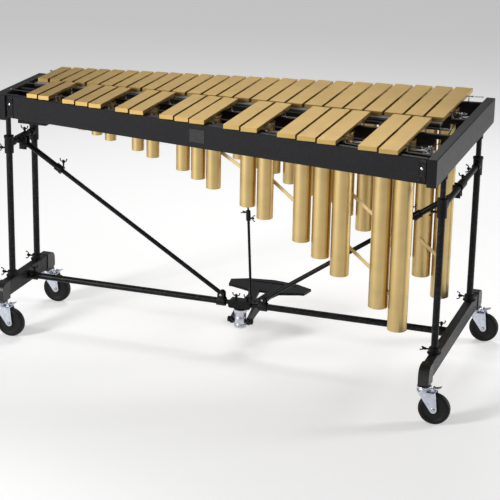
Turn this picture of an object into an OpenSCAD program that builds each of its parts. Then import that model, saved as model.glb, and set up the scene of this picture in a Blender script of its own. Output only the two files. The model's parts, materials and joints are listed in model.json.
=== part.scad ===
/* [Bars] */
// Height of the bars' playing surface above the floor
bar_top = 857; // [850:1:870]
// Thickness of every bar
bar_thick = 13; // [12:0.5:14]
// Gap between neighbouring bars of a row
bar_gap = 9; // [7:0.5:10]
// Width of the widest, lowest bars
bar_w_max = 57; // [55:1:58]
// Length of the lowest bar of the near row
natural_len_low = 440; // [420:5:450]
// Length of the highest bar of the near row
natural_len_high = 190; // [180:5:200]
// Length of the lowest bar of the raised-note row
accidental_len_low = 424; // [410:2:430]
// Length of the highest bar of the raised-note row
accidental_len_high = 208; // [200:2:216]

/* [Frame] */
// Distance between the end panels' outer faces
frame_len = 1544; // [1540:1:1548]
// Thickness of an end panel
panel_thick = 30; // [26:1:32]
// Height of the end panels
panel_h = 84.5; // [80:0.5:88]
// Height of the front fascia
fascia_h = 77; // [72:1:80]
// Thickness of the front fascia
fascia_thick = 20; // [18:1:22]

/* [Legs] */
// Front-to-back spread of the posts at the narrow, high-note end
posts_high = 190; // [180:5:200]
// Front-to-back spread of the posts at the wide, low-note end
posts_low = 512; // [500:2:520]
// Outer radius of the lower leg tubes
leg_r = 11; // [10.5:0.5:12]
// Outer radius of the posts that slide in them
post_r = 8.7; // [8.5:0.1:9]
// Height of the two base beams' top faces
beam_top = 182; // [178:1:186]

/* [Casters] */
// Wheel radius
wheel_r = 50; // [46:1:50]
// Tread width of a wheel
wheel_w = 26; // [24:1:28]
// Distance from the swivel axis back to the wheel's axle
caster_trail = 34; // [30:1:36]

/* [Resonators] */
// Wall thickness of the resonator tubes
tube_wall = 1.5; // [1.2:0.1:2]
// Sound speed used for the quarter-wave lengths, in metres per second
tube_speed = 331.7; // [325:0.1:340]

/* [Damper] */
// Width of the damper bar
damper_w = 40; // [36:1:42]
// Width of the pedal plate
pedal_w = 290; // [260:5:300]

/* [Hidden] */
$fn = 48;
e = 0.01;           // overshoot of a cutting tool

// ---- bars: counted from the lowest note, x falls as the notes rise ----
naturals = 25;
low_octaves = 11;   // naturals in the lower node of the row
semitones = [0, 2, 4, 5, 7, 9, 11];
sharp_after = [0, 1, 3, 4, 5];
lowest_hz = 130.81;
bar_z = bar_top - bar_thick;
row_low_x = 688;    // right-hand edge of the lowest natural
natural_y = 22;     // inner ends of the naturals
accidental_y = 8;   // inner ends of the accidentals
node_share = 0.224; // where a bar's still lines lie, as a share of its length
cord_r = 1.5;
cord_hole_r = 2.4;
cord_z = bar_top - bar_thick / 2;

function natural_w(i) =
    bar_w_max - (i < 7 ? 0 : i < 11 ? 6 : i < 16 ? 12 : i < 21 ? 16 : 21);
function row_used(i) = i <= 0 ? 0 : row_used(i - 1) + natural_w(i - 1) + bar_gap;
function natural_x(i) = row_low_x - row_used(i) - natural_w(i) / 2;
function gap_x(i) = row_low_x - row_used(i + 1) + bar_gap / 2;
function semitone(i) = 12 * floor(i / 7) + semitones[i % 7];
sharps = [for (i = [0:naturals - 2]) if (len(search(i % 7, sharp_after)) > 0) i];
function sharp_w(i) = (natural_w(i) + natural_w(i + 1)) / 2;

x_nat_low = natural_x(0);
x_nat_high = natural_x(naturals - 1);
x_acc_low = gap_x(0);
x_acc_high = gap_x(22);
function mix(a, b, t) = a + (b - a) * t;
function natural_len(x) =
    mix(natural_len_high, natural_len_low, (x - x_nat_high) / (x_nat_low - x_nat_high));
function accidental_len(x) =
    mix(accidental_len_high, accidental_len_low, (x - x_acc_high) / (x_acc_low - x_acc_high));
// depth of the line at a share of the bars' length, for either row
function natural_line(x, share) = natural_y + share * natural_len(x);
function accidental_line(x, share) = accidental_y - share * accidental_len(x);
// the bars whose indices fall in the lower or the upper node of a row
low_naturals = [0:low_octaves - 1];
high_naturals = [low_octaves:naturals - 1];
low_sharps = [for (i = sharps) if (i < low_octaves) i];
high_sharps = [for (i = sharps) if (i >= low_octaves) i];

// ---- frame ----
x_out = frame_len / 2;
x_in = x_out - panel_thick;
panel_top = 838.5;
panel_z = panel_top - panel_h;
fascia_z = panel_top - fascia_h;
fascia_slope = -0.1625;
fascia_front_high = -168;   // front face at the high end's inner panel face
function fascia_y(x) = fascia_front_high + (x + x_in) * fascia_slope;
panel_high_y = [-172, 168];
panel_low_y = [-413, 430];
cheek_t = 8;
cheek_x = -x_in + 15;
rail_top = 832;
rail_h = 40;
rail_w = 18;
rear_rail_h = 66;
member_z = rail_top - rail_h - 20;   // crossmembers lie under the rails
member_h = 20;
member_gaps = [2, 6, 9, 13, 16, 20];

// ---- resonators ----
tube_top = 838;
tube_r_max = 31;
tube_r_min = 16;
function tube_r(x) = max(tube_r_min, min(tube_r_max, 24 + 0.0141 * x));
function tube_len(s) = 16 + 1000 * tube_speed / (4 * lowest_hz * pow(2, s / 12));
stopper_t = 4;
shaft_z = 809;
shaft_r = 2.5;
pulley_x_natural = 698;
pulley_x_accidental = 704;
belt_w = 3;
belt_t = 2;
shaft_pulley_r = 14;
motor_pulley_r = 10;
motor_yz = [18, 772];
motor_shaft_r = 3;
strip_z = member_z + member_h;
strip_h = 22;
strip_t = 3;

// ---- damper and pedal ----
damper_y = 15;
damper_felt_top = bar_z - 0.3;
damper_felt_t = 7.5;
damper_t = 5;
damper_z = damper_felt_top - damper_felt_t - damper_t;
damper_x = [-706, 684];
pedal_x = 38;
pivot_z = 98;
rod_y = 110;               // rod pin behind the pedal pivot
rod_pin_z = 112;
hook_z = 800;
rod_lean = atan((rod_y - damper_y) / (hook_z - rod_pin_z));
rod_tube_r = 4.5;
rod_bore_r = 3.3;
rod_r = 3;
clutch_z = 438;
clutch_h = 36;
housing_r = 20;
housing_z = [75, 140];
plate_z = 112;

// ---- stand ----
x_leg = 760;
ends = [[-1, posts_high / 2], [1, posts_low / 2]];   // side and half spread of the posts
stem_y = [184, 369];                                 // caster stems, high end and low end
beam_w = 28;
beam_h = 52;
cap_over = 21;              // cap beyond the caster stem
cap_w = 34;
cap_z = 121;
clamp_z = 620;
clamp_h = 60;
clamp_step = 40;            // height of a clamp's lower, wider bore
cross_z = 652;
cross_r = 9.5;
bar_axis_z = 158;           // crossbar axis
tees = [-30, 117];
brace_top = [[-745, 634], [745, 622]];
brace_foot_z = 184;
brace_r = 9.5;
brace_rod_r = 7.5;
brace_over = 7;             // rod end beyond its foot pin
pin_bore_r = 3.06;          // bores for the braces' 6 mm pins
sleeve_len = 132;
stem_r = 6;
fit = 0.06;                 // radial clearance of a running fit
skin = 0.05;                // gap that keeps two clamped pieces separate solids
part_gap = 0.3;             // clearance between a moving piece and its neighbour

socket_r = 17;
clamp_r = 15.5;
function wing_reach(shank) = shank + 11 + 6.5;   // how far a thumb screw stands out

// ---- outline of the whole, for the origin ----
x_min = -x_leg - socket_r - wing_reach(10);
x_max = x_leg + caster_trail + wheel_r;
y_min = accidental_y - accidental_len(x_acc_low);
y_max = natural_y + natural_len_low;
origin_shift = [-(x_min + x_max) / 2, -(y_min + y_max) / 2, 0];

// ---- shapes that repeat ----
module tube(outer, inner, h) {
    difference() {
        cylinder(r = outer, h = h);
        translate([0, 0, -1]) cylinder(r = inner, h = h + 2);
    }
}

// turns +Z to run from p to q and moves to p
module along(p, q) {
    d = q - p;
    translate(p)
        rotate([0, acos(d.z / norm(d)), atan2(d.y, d.x)]) children();
}

// a straight plank between two depths, standing on z0
module plank(xa, ya, xb, yb, w, z0, h) {
    translate([0, 0, z0])
        linear_extrude(h)
            polygon([[xa, ya - w / 2], [xb, yb - w / 2], [xb, yb + w / 2], [xa, ya + w / 2]]);
}

module block(size, r = 3) {
    linear_extrude(size.z, center = true) rounded(size.x, size.y, r);
}

module rounded(w, d, r) {
    square([w - 2 * r, d], center = true);
    square([w, d - 2 * r], center = true);
    for (sx = [-1, 1], sy = [-1, 1])
        translate([sx * (w / 2 - r), sy * (d / 2 - r)]) circle(r = r);
}

// a thumb screw along +Z: shank, hub and two round wings
module wing_screw(shank = 18) {
    cylinder(r = 3, h = shank + 2);
    translate([0, 0, shank]) cylinder(r1 = 6.5, r2 = 5, h = 9);
    for (s = [-1, 1])
        translate([s * 10, 0, shank + 11])
            rotate([90, 0, 0]) cylinder(r = 6.5, h = 3.5, center = true);
    translate([0, 0, shank + 7]) cube([18, 3.5, 6], center = true);
}

module hex_bolt(shank, r = 3) {
    cylinder(r = r, h = shank);
    translate([0, 0, -4]) cylinder(r = 2 * r, h = 4, $fn = 6);
}

// a round wire wound along +Z, as one swept solid
module coil(r, wire, h, turns) {
    sides = 6;
    steps = 12 * turns;
    pts = [for (k = [0:steps], j = [0:sides - 1])
        let (a = 360 * k / 12, b = 360 * j / sides, q = r + wire * cos(b))
        [q * cos(a), q * sin(a), wire + (h - 2 * wire) * k / steps + wire * sin(b)]];
    sides_of = [for (k = [0:steps - 1], j = [0:sides - 1])
        let (n = (j + 1) % sides)
        [k * sides + j, (k + 1) * sides + j, (k + 1) * sides + n, k * sides + n]];
    first = [for (j = [0:sides - 1]) j];
    last = [for (j = [sides - 1:-1:0]) steps * sides + j];
    polyhedron(pts, concat([first], sides_of, [last]));
}

// repeats its children at the four legs, with $side, $yp, $ys set
module at_legs() {
    for (k = [0, 1], s = [-1, 1]) {
        $side = ends[k][0];
        $yp = s * ends[k][1];
        $ys = s * stem_y[k];
        $back = s;
        children();
    }
}

// ---- base and legs ----
module base_beams() {
    color("#26262a")
        for (k = [0, 1])
            translate([ends[k][0] * x_leg, 0, beam_top - beam_h / 2])
                difference() {
                    cube([beam_w, 2 * (stem_y[k] - 12), beam_h], center = true);
                    cube([beam_w - 5, 2 * stem_y[k], beam_h - 5], center = true);
                }
}

module cap_side() {
    over = cap_over;
    top = beam_top + 2;
    r = 28;
    difference() {
        union() {
            translate([-36, cap_z]) square([36 + over, top - r - cap_z]);
            translate([-36, cap_z]) square([36 + over - r, top - cap_z]);
            translate([over - r, top - r]) circle(r = r);
        }
        translate([over - 8, cap_z - e]) square([9, 7]);
    }
}

module beam_end_caps() {
    color("#1d1d20")
        at_legs()
            translate([$side * x_leg, $ys, 0])
                difference() {
                    rotate([90, 0, $back > 0 ? 90 : -90])
                        linear_extrude(cap_w, center = true) cap_side();
                    translate([0, -$back * 41, beam_top - beam_h / 2])
                        cube([beam_w, 58, beam_h], center = true);
                    translate([0, 0, cap_z - 1]) cylinder(r = stem_r + fit, h = 42);
                }
}

module leg_sockets() {
    color("#1d1d20")
        at_legs()
            translate([$side * x_leg, $yp, beam_top])
                union() {
                    tube(socket_r, leg_r, 20);
                    tube(22, leg_r, 5);
                }
}

module leg_tubes() {
    color("#1b1b1d")
        at_legs()
            translate([$side * x_leg, $yp, beam_top])
                tube(leg_r, post_r + part_gap, clamp_z + clamp_step - beam_top);
}

module leg_clamps() {
    color("#1d1d20")
        at_legs()
            translate([$side * x_leg, $yp, clamp_z])
                difference() {
                    union() {
                        cylinder(r = clamp_r, h = clamp_h);
                        translate([0, 0, clamp_h - 8]) cylinder(r = 17, h = 8);
                        translate([0, 0, cross_z - clamp_z])
                            rotate([$back * 90, 0, 0]) cylinder(r = 13.5, h = 34);
                    }
                    translate([0, 0, -1]) cylinder(r = leg_r, h = clamp_step + 1);
                    cylinder(r = post_r + part_gap, h = clamp_h + 1);
                    translate([0, -$back * (clamp_r - e), cross_z - clamp_z])
                        rotate([$back * 90, 0, 0]) cylinder(r = cross_r, h = 30);
                }
}

module cross_tubes() {
    color("#1b1b1d")
        for (k = [0, 1])
            translate([ends[k][0] * x_leg, ends[k][1] - clamp_r, cross_z])
                rotate([90, 0, 0]) cylinder(r = cross_r, h = 2 * (ends[k][1] - clamp_r));
}

// a split sleeve round the cross tube with two ears for the brace pin
module brace_brackets() {
    color("#1d1d20")
        for (k = [0, 1]) {
            s = ends[k][0];
            translate([s * x_leg, 0, cross_z])
                difference() {
                    union() {
                        rotate([90, 0, 0]) cylinder(r = 14, h = 64, center = true);
                        for (t = [-1, 1])
                            translate([-s * 10, t * 13, -18]) cube([26, 5, 42], center = true);
                    }
                    rotate([90, 0, 0]) cylinder(r = cross_r, h = 70, center = true);
                    translate([brace_top[k][0] - s * x_leg, 0, brace_top[k][1] - cross_z])
                        rotate([90, 0, 0]) cylinder(r = pin_bore_r, h = 40, center = true);
                }
        }
}

function brace_dir(k) =
    let (d = [tees[k] - brace_top[k][0], 0, brace_foot_z - brace_top[k][1]]) d / norm(d);
function brace_start(k) = [brace_top[k][0], 0, brace_top[k][1]];
function brace_end(k) = [tees[k], 0, brace_foot_z];

module brace_sleeves() {
    color("#1b1b1d")
        for (k = [0, 1]) {
            along(brace_start(k), brace_end(k)) {
                difference() {
                    union() {
                        cylinder(r = brace_r, h = sleeve_len);
                        rotate([90, 0, 0]) cylinder(r = 9, h = 20, center = true);
                    }
                    translate([0, 0, 16]) cylinder(r = brace_rod_r, h = sleeve_len);
                    rotate([90, 0, 0]) cylinder(r = pin_bore_r, h = 30, center = true);
                }
                translate([0, 0, sleeve_len + skin]) collar();
            }
        }
}

module collar() {
    difference() {
        union() {
            cylinder(r = 13, h = 28);
            translate([0, 0, 20]) cylinder(r = 14.5, h = 8);
        }
        translate([0, 0, -1]) cylinder(r = brace_rod_r, h = 40);
    }
}

module brace_rods() {
    color("#1b1b1d")
        for (k = [0, 1])
            along(brace_end(k) + brace_over * brace_dir(k), brace_start(k) + 40 * brace_dir(k))
                difference() {
                    cylinder(r = brace_rod_r, h = norm(brace_end(k) - brace_start(k)) - 40 + brace_over);
                    translate([0, 0, brace_over])
                        rotate([90, 0, 0]) cylinder(r = pin_bore_r, h = 30, center = true);
                }
}

// two thick tubes that clamp on a thinner rod between the tees
module crossbar() {
    color("#1b1b1d") {
        for (k = [0, 1])
            along([ends[k][0] * (x_leg - beam_w / 2), 0, bar_axis_z], [tees[k], 0, bar_axis_z])
                tube(leg_r, 8 + skin, abs(ends[k][0] * (x_leg - beam_w / 2) - tees[k]));
        translate([tees[0] - 60, 0, bar_axis_z])
            rotate([0, 90, 0]) cylinder(r = 8, h = tees[1] - tees[0] + 120);
    }
}

module tee_ear() {
    linear_extrude(5, center = true) {
        translate([-11, 5]) square([22, brace_foot_z - bar_axis_z - 5]);
        translate([0, brace_foot_z - bar_axis_z]) circle(r = 11);
    }
}

module crossbar_fittings() {
    color("#1d1d20") {
        for (k = [0, 1]) {
            translate([tees[k], 0, bar_axis_z])
                difference() {
                    union() {
                        rotate([0, 90, 0]) cylinder(r = 15.5, h = 30, center = true);
                        for (t = [-1, 1])
                            translate([0, t * 11, 0]) rotate([90, 0, 0]) tee_ear();
                    }
                    rotate([0, 90, 0]) cylinder(r = leg_r, h = 40, center = true);
                    rotate([0, 90, 0]) cylinder(r = 8, h = 60, center = true);
                    translate([0, 0, 30]) cube([50, 17, 40], center = true);
                    translate([0, 0, brace_foot_z - bar_axis_z])
                        rotate([90, 0, 0]) cylinder(r = pin_bore_r, h = 40, center = true);
                }
            s = ends[k][0];
            translate([s * (x_leg - beam_w / 2 - 17), 0, bar_axis_z])
                difference() {
                    rotate([0, 90, 0]) cylinder(r = 15.5, h = 34, center = true);
                    rotate([0, 90, 0]) cylinder(r = leg_r, h = 40, center = true);
                }
        }
    }
}

// ---- pedal ----
module pedal_carriage() {
    color("#1d1d20")
        translate([pedal_x, 0, bar_axis_z])
            difference() {
                rotate([90, 0, 0]) block([78, 28, 34], 8);
                rotate([0, 90, 0]) cylinder(r = 8, h = 90, center = true);
            }
}

module spring_housing() {
    color("#b9bcc4")
        translate([pedal_x, 0, housing_z[0]])
            difference() {
                union() {
                    cylinder(r = housing_r, h = housing_z[1] - housing_z[0]);
                    cylinder(r = housing_r + 0.8, h = 8);
                    translate([0, 0, housing_z[1] - housing_z[0] - 7])
                        cylinder(r = housing_r + 3, h = 7);
                }
                translate([0, 0, 10]) cylinder(r = housing_r - 3, h = 50);
                translate([0, 0, pivot_z - housing_z[0]])
                    rotate([0, 90, 0]) cylinder(r = 4, h = 60, center = true);
            }
}

module pedal_spring() {
    color("#8a8d92")
        translate([pedal_x, 0, pivot_z + 8]) coil(12, 1.6, 24, 5);
}

module ear_outline() {
    translate([0, pivot_z]) circle(r = 13);
    polygon([[0, pivot_z - 13], [0, pivot_z + 13], [70, 140], [118, 126],
        [150, plate_z + 8], [150, plate_z - 6], [60, 96]]);
}

// pedal plan, drawn about its centre line, in front-to-back terms
module pedal_plan() {
    half = pedal_w / 2;
    difference() {
        union() {
            for (s = [-1, 1])
                scale([s, 1])
                    polygon([[0, 140], [40, 140], [41, 196], [56, 242], [half - 24, 267],
                        [half - 6, 270], [half + 4, 322], [90, 352], [0, 366]]);
        }
        polygon([[0, 150], [-15, 246], [15, 246]]);
    }
}

module pedal() {
    color("#202023") {
        translate([pedal_x, 0, plate_z]) {
            linear_extrude(9) pedal_plan();
            translate([0, 330, 0]) cube([180, 4, 24], center = true);
        }
        difference() {
            translate([pedal_x, 0, 0])
                for (s = [-1, 1])
                    translate([s * 29, 0, 0])
                        rotate([90, 0, 90]) linear_extrude(10, center = true) ear_outline();
            translate([pedal_x, 0, pivot_z])
                rotate([0, 90, 0]) cylinder(r = 4 + fit, h = 80, center = true);
        }
        difference() {
            union() {
                translate([pedal_x, 140, plate_z + 1]) cube([68, 30, 14], center = true);
                for (s = [-1, 1])
                    translate([pedal_x + s * 19, rod_y, rod_pin_z]) cube([12, 22, 16], center = true);
            }
            translate([pedal_x, rod_y, rod_pin_z])
                cube([14, 70, 40], center = true);
        }
        translate([pedal_x, rod_y, rod_pin_z])
            rotate([0, 90, 0]) cylinder(r = 3, h = 56, center = true);
    }
}

function rod_at(z) = [pedal_x, rod_y - (z - rod_pin_z) * tan(rod_lean), z];

module pedal_rod() {
    color("#1b1b1d") {
        difference() {
            union() {
                translate(rod_at(rod_pin_z)) rotate([0, 90, 0]) cylinder(r = 8.5, h = 6, center = true);
                along(rod_at(rod_pin_z + 7), rod_at(clutch_z))
                    cylinder(r = rod_tube_r, h = (clutch_z - rod_pin_z - 7) / cos(rod_lean));
            }
            translate(rod_at(rod_pin_z)) rotate([0, 90, 0]) cylinder(r = 4.3, h = 30, center = true);
            along(rod_at(300), rod_at(clutch_z)) cylinder(r = rod_bore_r, h = 200);
        }
    }
}

module rod_clutch() {
    color("#1d1d20")
        along(rod_at(clutch_z), rod_at(clutch_z + clutch_h)) {
            tube(8, rod_bore_r, clutch_h);
            translate([8, 0, 9]) rotate([0, 90, 0]) scale(0.8) wing_screw(5);
            translate([-8, 0, 28]) rotate([0, -90, 0]) scale(0.8) wing_screw(5);
        }
}

module rod_extension() {
    color("#202023")
        difference() {
            union() {
                along(rod_at(350), rod_at(hook_z)) cylinder(r = rod_r, h = (hook_z - 356) / cos(rod_lean));
                translate(rod_at(hook_z)) rotate([90, 0, 0]) cylinder(r = 7, h = 6, center = true);
            }
            translate(rod_at(hook_z)) rotate([90, 0, 0]) cylinder(r = 4, h = 30, center = true);
        }
}

module damper_bar() {
    color("#232325") {
        translate([damper_x[0], damper_y - damper_w / 2, damper_z])
            cube([damper_x[1] - damper_x[0], damper_w, damper_t]);
        // hanger and pin that the rod's eye rides on
        for (y = [-16, 32])
            translate([pedal_x, y, (damper_z + hook_z) / 2 - 3])
                cube([12, 4, damper_z - hook_z + 6], center = true);
        translate([pedal_x, -17, hook_z]) rotate([-90, 0, 0]) cylinder(r = 3, h = 50);
    }
}

module damper_felt() {
    color("#3a3a3c")
        translate([damper_x[0], damper_y - damper_w / 2 + 1, damper_z + damper_t])
            cube([damper_x[1] - damper_x[0], damper_w - 2, damper_felt_t]);
}

module damper_springs() {
    color("#8a8d92")
        for (i = [2, 13, 20])
            translate([gap_x(i), damper_y, member_z + member_h])
                coil(7, 1, damper_z - member_z - member_h, 5);
}

// ---- frame ----
module panel(x0, span) {
    translate([x0, 0, 0])
        rotate([90, 0, 90])
            linear_extrude(panel_thick)
                polygon([[span[0], panel_z], [span[0], panel_top], [span[1], panel_top],
                    [span[1], panel_z + 6], [span[1] - 8, panel_z]]);
}

// the narrow end's panel with a wider cheek across its front end
module end_panel_high() {
    front = panel_high_y[0];
    color("#2e2d32") {
        panel(-x_out, panel_high_y);
        translate([0, 0, panel_z])
            linear_extrude(panel_h)
                polygon([[-x_out, front + e], [-x_out, front - cheek_t], [cheek_x, front - cheek_t],
                    [cheek_x, fascia_y(cheek_x) - part_gap], [-x_in, fascia_y(-x_in) - part_gap],
                    [-x_in, front + e]]);
    }
}

module end_panel_low() { color("#34333a") panel(x_in, panel_low_y); }

module fascia() {
    color("#38373c")
        plank(-x_in, fascia_y(-x_in) + fascia_thick / 2, x_in, fascia_y(x_in) + fascia_thick / 2,
            fascia_thick, fascia_z, fascia_h);
}

module rail(share, row, h) {
    y0 = row == "natural" ? natural_line(-x_in, share) : accidental_line(-x_in, share);
    y1 = row == "natural" ? natural_line(x_in, share) : accidental_line(x_in, share);
    plank(-x_in, y0, x_in, y1, rail_w, rail_top - h, h);
}

module bar_rails() {
    color("#1f1f22") {
        rail(1 - node_share, "natural", rear_rail_h);
        rail(1 - node_share, "accidental", rail_h);
        difference() {
            union() {
                rail(node_share, "natural", rail_h);
                rail(node_share, "accidental", rail_h);
            }
            translate([690, -200, 760]) cube([20, 500, 58]);
        }
    }
}

module crossmembers() {
    color("#242427")
        for (i = member_gaps) {
            x = gap_x(i);
            y0 = fascia_y(x) + fascia_thick + 1;
            y1 = natural_line(x, 1 - node_share) - rail_w / 2 - 1;
            translate([x - 1.5, y0, member_z]) cube([3, y1 - y0, member_h]);
        }
}

// plates at the fascia's ends, the block under the narrow end, the posts' flanges and
// the fan shafts' bearing blocks
module frame_brackets() {
    color("#1d1d20") {
        for (x = [cheek_x + 1, x_in - 27])
            plank(x, fascia_y(x) - 1.2, x + 24, fascia_y(x + 24) - 1.2, 2.4,
                fascia_z + 2, fascia_h - 4);
        translate([-650, -131, fascia_z - 11]) block([104, 26, 22], 5);
        at_legs()
            translate([$side * x_leg, $yp, panel_z - 12])
                tube(12, post_r, 12);
        for (x = [-x_in, x_in - 14]) {
            difference() {
                translate([x, natural_line(x + 7, 0.5) - 10, shaft_z - 10]) cube([14, 20, 20]);
                natural_shaft_line(x - 5, x + 19, shaft_r + fit);
            }
            difference() {
                translate([x, accidental_line(x + 7, 0.5) - 10, shaft_z - 10]) cube([14, 20, 20]);
                accidental_shaft_line(x - 5, x + 19, shaft_r + fit);
            }
        }
    }
}

module leg_posts() {
    color("#1b1b1d")
        at_legs()
            translate([$side * x_leg, $yp, clamp_z - 160])
                cylinder(r = post_r, h = panel_z - clamp_z + 160);
}

module frame_screws() {
    color("#d5d7db") {
        for (x = [cheek_x + 13, x_in - 15])
            translate([x, fascia_y(x) - 2.4, fascia_z + fascia_h * 0.62])
                rotate([90, 0, atan(fascia_slope)]) cylinder(r = 4.5, h = 3);
    }
}

// an eyed pin at the given place, its eye facing along the rail
module cord_post(x, y) {
    color("#9a9ca2")
        translate([x, y, 0]) {
            translate([0, 0, rail_top]) cylinder(r = 4.2, h = 5, $fn = 20);
            translate([0, 0, rail_top]) cylinder(r = 1.6, h = cord_z - rail_top - 2, $fn = 16);
            translate([0, 0, cord_z])
                rotate([0, 90, 0])
                    difference() {
                        cylinder(r = 3.4, h = 2.6, center = true, $fn = 24);
                        cylinder(r = 2.1, h = 6, center = true, $fn = 20);
                    }
        }
}

post_end = 2.6;    // posts stand this far outside the outermost bars
natural_posts = [for (i = [0:naturals - 2]) gap_x(i)];
sharp_posts = concat(
    [for (i = sharps) gap_x(i) - sharp_w(i) / 2 - bar_gap / 2],
    [for (i = [0, 3, 7, 10, 14, 17, 21]) gap_x(i) + sharp_w(i) / 2 + bar_gap / 2]);
row_ends = [row_low_x + bar_gap / 2 + post_end,
    x_nat_high - natural_w(naturals - 1) / 2 - bar_gap / 2 - post_end];

module cord_posts() {
    for (share = [node_share, 1 - node_share]) {
        for (x = concat(natural_posts, row_ends)) cord_post(x, natural_line(x, share));
        for (x = sharp_posts) cord_post(x, accidental_line(x, share));
    }
}

cord_x = [-726, 706];

module cord_line(xa, ya, xb, yb, r) {
    along([xa, ya, cord_z], [xb, yb, cord_z])
        cylinder(r = r, h = norm([xb - xa, yb - ya]), $fn = 20);
}

module natural_cord(share, r) {
    cord_line(cord_x[0], natural_line(cord_x[0], share), cord_x[1], natural_line(cord_x[1], share), r);
}

module accidental_cord(share, r) {
    cord_line(cord_x[0], accidental_line(cord_x[0], share),
        cord_x[1], accidental_line(cord_x[1], share), r);
}

module bar_cords() {
    color("#1a1a1c")
        for (share = [node_share, 1 - node_share]) {
            natural_cord(share, cord_r);
            accidental_cord(share, cord_r);
        }
}

// one bar: a plate thinned underneath between its still lines
module bar(x, y0, y1, w) {
    span = y1 - y0;
    chord = 0.46 * span;
    depth = 5.5;
    arch_r = (chord * chord / 4 + depth * depth) / (2 * depth);
    difference() {
        translate([x - w / 2, y0, bar_z]) cube([w, span, bar_thick]);
        translate([x, (y0 + y1) / 2, bar_z + depth - arch_r])
            rotate([0, 90, 0]) cylinder(r = arch_r, h = w + 2, center = true, $fn = 180);
    }
}

module natural_set(indices) {
    color("#c79a4b")
        for (i = indices) {
            x = natural_x(i);
            w = natural_w(i);
            difference() {
                bar(x, natural_y, natural_y + natural_len(x), w);
                for (share = [node_share, 1 - node_share])
                    cord_line(x - w, natural_line(x - w, share), x + w, natural_line(x + w, share),
                        cord_hole_r);
            }
        }
}

module accidental_set(indices) {
    color("#c79a4b")
        for (i = indices) {
            x = gap_x(i);
            w = sharp_w(i);
            difference() {
                bar(x, accidental_y - accidental_len(x), accidental_y, w);
                for (share = [node_share, 1 - node_share])
                    cord_line(x - w, accidental_line(x - w, share), x + w,
                        accidental_line(x + w, share), cord_hole_r);
            }
        }
}

module natural_bars_low() { natural_set(low_naturals); }

module natural_bars_high() { natural_set(high_naturals); }

module accidental_bars_low() { accidental_set(low_sharps); }

module accidental_bars_high() { accidental_set(high_sharps); }

// ---- resonators ----
module resonator(x, y, s) {
    r = tube_r(x);
    translate([x, y, tube_top - tube_len(s)]) tube(r, r - tube_wall, tube_len(s));
}

module natural_shaft_line(x0, x1, r) {
    a = [x0, natural_line(x0, 0.5), shaft_z];
    b = [x1, natural_line(x1, 0.5), shaft_z];
    along(a, b) cylinder(r = r, h = norm(b - a), $fn = 32);
}

module accidental_shaft_line(x0, x1, r) {
    a = [x0, accidental_line(x0, 0.5), shaft_z];
    b = [x1, accidental_line(x1, 0.5), shaft_z];
    along(a, b) cylinder(r = r, h = norm(b - a), $fn = 32);
}

module natural_resonators() {
    color("#c39a50")
        for (i = [0:naturals - 1]) {
            x = natural_x(i);
            difference() {
                resonator(x, natural_line(x, 0.5), semitone(i));
                natural_shaft_line(x - 40, x + 40, 4);
            }
        }
}

module accidental_resonators() {
    color("#c39a50")
        for (i = sharps) {
            x = gap_x(i);
            difference() {
                resonator(x, accidental_line(x, 0.5), semitone(i) + 1);
                accidental_shaft_line(x - 40, x + 40, 4);
            }
        }
}

module stopper(x, y, s) {
    translate([x, y, tube_top - tube_len(s) + 3])
        cylinder(r = tube_r(x) - tube_wall, h = stopper_t);
}

module resonator_stoppers() {
    color("#7c6535") {
        for (i = [0:naturals - 1])
            stopper(natural_x(i), natural_line(natural_x(i), 0.5), semitone(i));
        for (i = sharps)
            stopper(gap_x(i), accidental_line(gap_x(i), 0.5), semitone(i) + 1);
    }
}

strip_x = [-738, 689];
strap_off = 1.5;    // middle of a 2 mm strap beside its tubes
function strip_off(x) = 24 + 0.0141 * x + strip_t / 2 + 0.8;

// side strips that hold each bank of tubes, joined by a plate at either end
module resonator_rails() {
    color("#1b1b1d")
        for (s = [-1, 1]) {
            plank(strip_x[0], natural_line(strip_x[0], 0.5) + s * strip_off(strip_x[0]) + s * 4,
                strip_x[1], natural_line(strip_x[1], 0.5) + s * strip_off(strip_x[1]),
                strip_t, strip_z, strip_h);
            plank(strip_x[0], accidental_line(strip_x[0], 0.5) + s * strip_off(strip_x[0]) + s * 4,
                strip_x[1], accidental_line(strip_x[1], 0.5) + s * strip_off(strip_x[1]),
                strip_t, strip_z, strip_h);
        }
}

// a flat strap from one tube to a longer neighbour, on the side facing the other bank
module strap(xa, za, xb, zb, y_of, side) {
    ya = y_of[0] + side * (tube_r(xa) + strap_off);
    yb = y_of[1] + side * (tube_r(xb) + strap_off);
    along([xa, ya, za], [xb, yb, zb])
        translate([-6, -1, -6]) cube([12, 2, norm([xb - xa, yb - ya, zb - za]) + 12]);
}

module accidental_strap(i, j, za, zb) {
    strap(gap_x(i), za, gap_x(j), zb,
        [accidental_line(gap_x(i), 0.5), accidental_line(gap_x(j), 0.5)], 1);
}

module resonator_straps() {
    color("#b8924c") {
        accidental_strap(7, 5, 652, 556);
        accidental_strap(3, 1, 650, 546);
        accidental_strap(3, 1, 474, 370);
        accidental_strap(10, 8, 720, 650);
        strap(natural_x(1), 390, natural_x(0), 333,
            [natural_line(natural_x(1), 0.5), natural_line(natural_x(0), 0.5)], -1);
    }
    // rubber blocks between neighbouring tubes
    color("#1a1a1c")
        for (z = [520, 340])
            translate([(gap_x(0) + gap_x(1)) / 2, accidental_line((gap_x(0) + gap_x(1)) / 2, 0.5), z])
                cube([3.4, 12, 14], center = true);
}

// ---- motor drive ----
module control_box() {
    color("#3b3b40") {
        translate([122, 0, 693]) block([22, 30, 150], 3);
        translate([122 - 75, -12, member_z - 4]) cube([184, 24, 4]);
    }
}

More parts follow.
